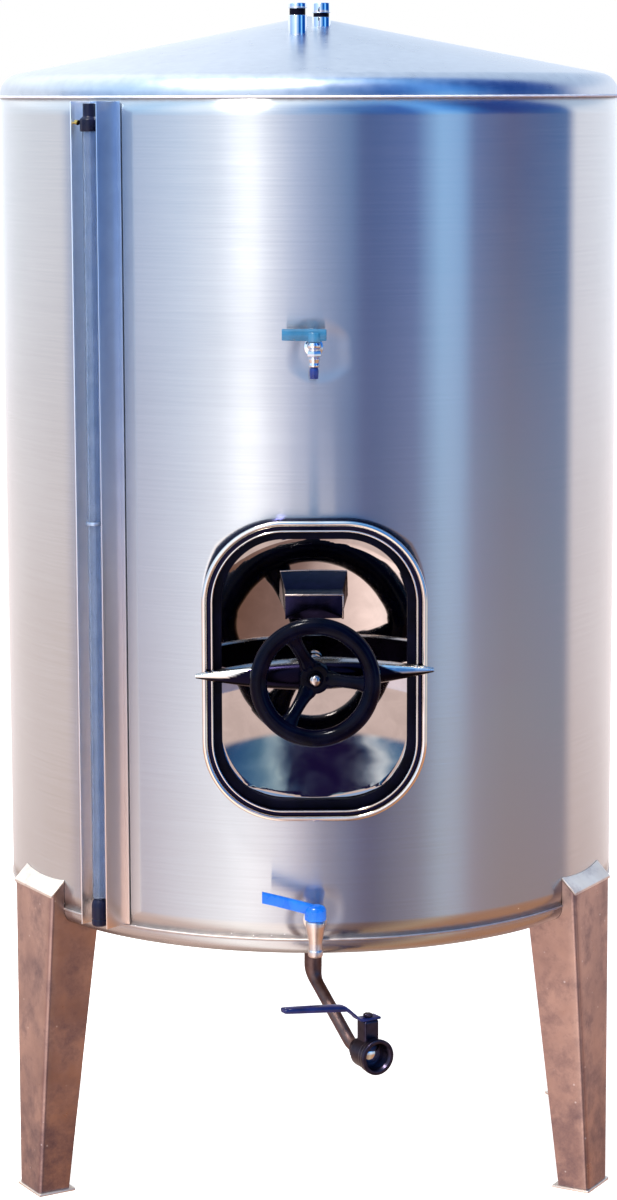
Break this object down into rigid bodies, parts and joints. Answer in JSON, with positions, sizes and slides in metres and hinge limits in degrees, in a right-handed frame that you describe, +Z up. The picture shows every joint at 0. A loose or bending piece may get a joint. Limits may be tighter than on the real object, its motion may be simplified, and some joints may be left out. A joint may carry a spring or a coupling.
{
  "type": "vertical storage tank",
  "caption": "Upright stainless storage tank on folded legs, with a coned roof, clamped manway door, level gauge, sample tap, drain tap and bottom outlet valve.",
  "frame": {"origin": "on the floor in the middle of the bounding box; the shell's axis stands 59 mm behind it", "axes": "+Z up along the shell's axis, -Y the side with the manway door and taps, +X to the right of someone facing that side"},
  "size_m": [0.9978, 1.1061, 1.864],
  "materials": {
    "shell_steel": "fine brushed stainless sheet",
    "weld_bead": "bright ground weld",
    "leg_steel": "brushed stainless, folded",
    "polished_steel": "polished stainless",
    "satin_steel": "satin stainless",
    "black_rubber": "matt seal",
    "black_plastic": "glossy moulding",
    "gauge_glass": "clear tube",
    "yellow_brass": "turned",
    "azure_plastic": "dipped sleeve",
    "teal_plastic": "dipped sleeve",
    "navy_plastic": "dipped sleeve"
  },
  "bodies": {
    "tank": {"shell_front_top": "shell_steel", "shell_front_bottom": "shell_steel", "shell_front_left": "shell_steel", "shell_front_right": "shell_steel", "shell_right_front": "shell_steel", "shell_right": "shell_steel", "shell_right_back": "shell_steel", "shell_left_back": "shell_steel", "shell_left": "shell_steel", "shell_left_front": "shell_steel", "roof": "shell_steel", "tank_bottom": "shell_steel", "roof_nozzle_left": "shell_steel", "roof_nozzle_right": "shell_steel", "top_seam": "weld_bead", "bottom_seam": "weld_bead", "leg_front_left": "leg_steel", "leg_cover_front_left": "leg_steel", "foot_plate_front_left": "leg_steel", "leg_front_right": "leg_steel", "leg_cover_front_right": "leg_steel", "foot_plate_front_right": "leg_steel", "leg_back_left": "leg_steel", "leg_cover_back_left": "leg_steel", "foot_plate_back_left": "leg_steel", "leg_back_right": "leg_steel", "leg_cover_back_right": "leg_steel", "foot_plate_back_right": "leg_steel", "manway_frame": "polished_steel", "manway_door": "polished_steel", "door_stud": "polished_steel", "stud_nut": "polished_steel", "gauge_channel": "polished_steel", "gauge_clip": "polished_steel", "nozzle_cap_left": "polished_steel", "nozzle_cap_right": "polished_steel", "sample_tap_body": "polished_steel", "drain_tap_body": "polished_steel", "door_lug": "satin_steel", "outlet_pipe": "satin_steel", "outlet_valve_body": "satin_steel", "manway_gasket": "black_rubber", "gauge_top_fitting": "black_plastic", "gauge_bottom_fitting": "black_plastic", "gauge_tube": "gauge_glass", "gauge_vent_lever": "yellow_brass"},
    "bridge": {"bridge": "polished_steel"},
    "handwheel": {"handwheel": "black_plastic"},
    "sample_tap_lever": {"sample_tap_lever": "teal_plastic"},
    "drain_tap_lever": {"drain_tap_lever": "azure_plastic"},
    "outlet_valve_lever": {"outlet_valve_lever": "navy_plastic"}
  },
  "joints": [
    {"name": "handwheel_turn", "type": "hinge", "parent": "tank", "child": "handwheel", "pos_m": [0, -0.50055, 0.883], "axis": [0, -1, 0], "continuous": true},
    {"name": "bridge_swing", "type": "hinge", "parent": "tank", "child": "bridge", "pos_m": [0, -0.47555, 0.883], "axis": [0, -1, 0], "range_deg": [0, 90]},
    {"name": "sample_tap_turn", "type": "hinge", "parent": "tank", "child": "sample_tap_lever", "pos_m": [0, -0.48055, 1.38], "axis": [0, 0, 1], "range_deg": [0, 90]},
    {"name": "drain_tap_turn", "type": "hinge", "parent": "tank", "child": "drain_tap_lever", "pos_m": [0, -0.48055, 0.525], "axis": [0, 0, 1], "range_deg": [0, 90]},
    {"name": "outlet_valve_turn", "type": "hinge", "parent": "tank", "child": "outlet_valve_lever", "pos_m": [0.078, -0.47455, 0.362], "axis": [0, 0, 1], "range_deg": [0, 90]}
  ]
}
